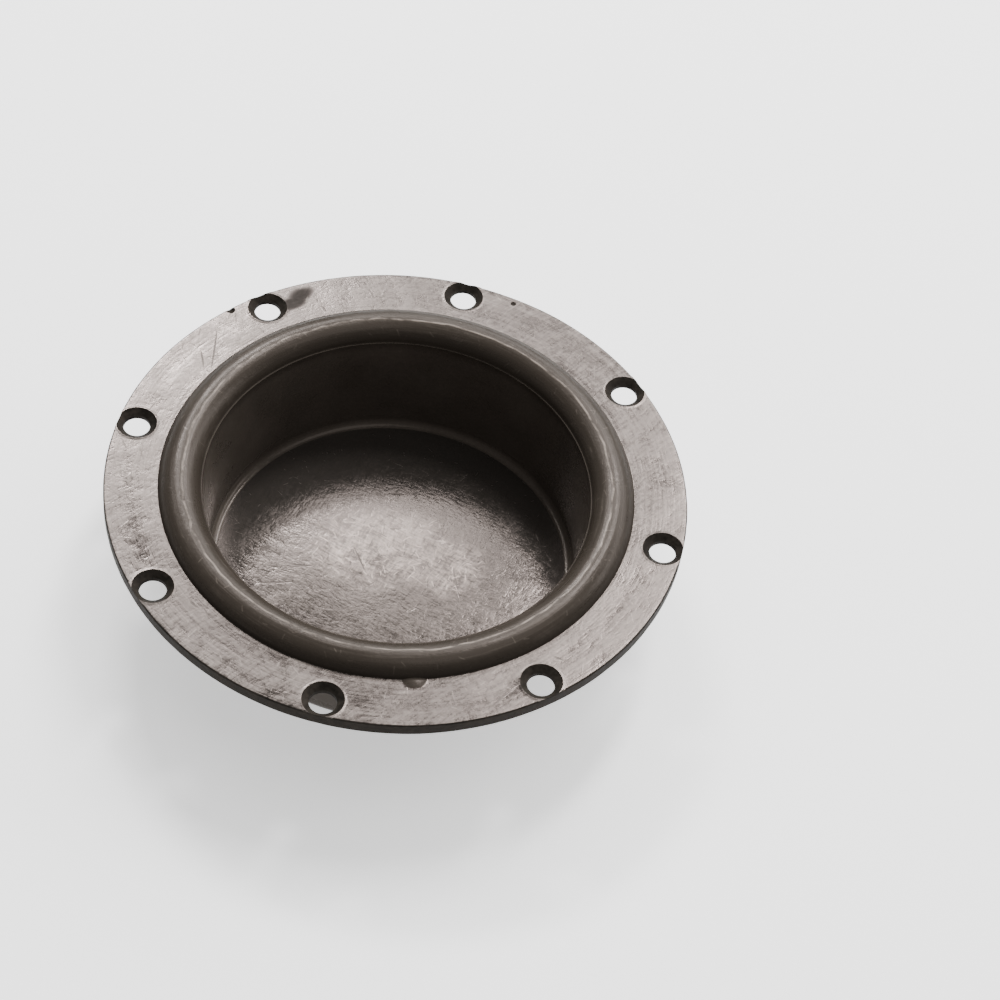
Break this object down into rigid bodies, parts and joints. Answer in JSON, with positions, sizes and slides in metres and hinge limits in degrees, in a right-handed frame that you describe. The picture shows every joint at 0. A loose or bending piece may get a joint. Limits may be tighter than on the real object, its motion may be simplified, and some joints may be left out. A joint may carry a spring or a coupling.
{
  "type": "wastegate diaphragm",
  "caption": "Round moulded rubber diaphragm with a bolted flange, a rolled bead and a flat-bottomed cup, which seals an actuator's housing and carries its piston.",
  "frame": {"origin": "middle of the cup's flat end, on the surface that the part stands on", "axes": "+Z along the diaphragm's axis, from the cup's end towards its open side; +X through the middle of one bolt hole"},
  "size_m": [0.13, 0.13, 0.0332],
  "materials": {
    "rubber": "moulded black rubber, flat faces rubbed to a grey satin sheen with fine scratches, rounded parts dull"
  },
  "bodies": {
    "root": {"diaphragm": "rubber"}
  },
  "joints": []
}
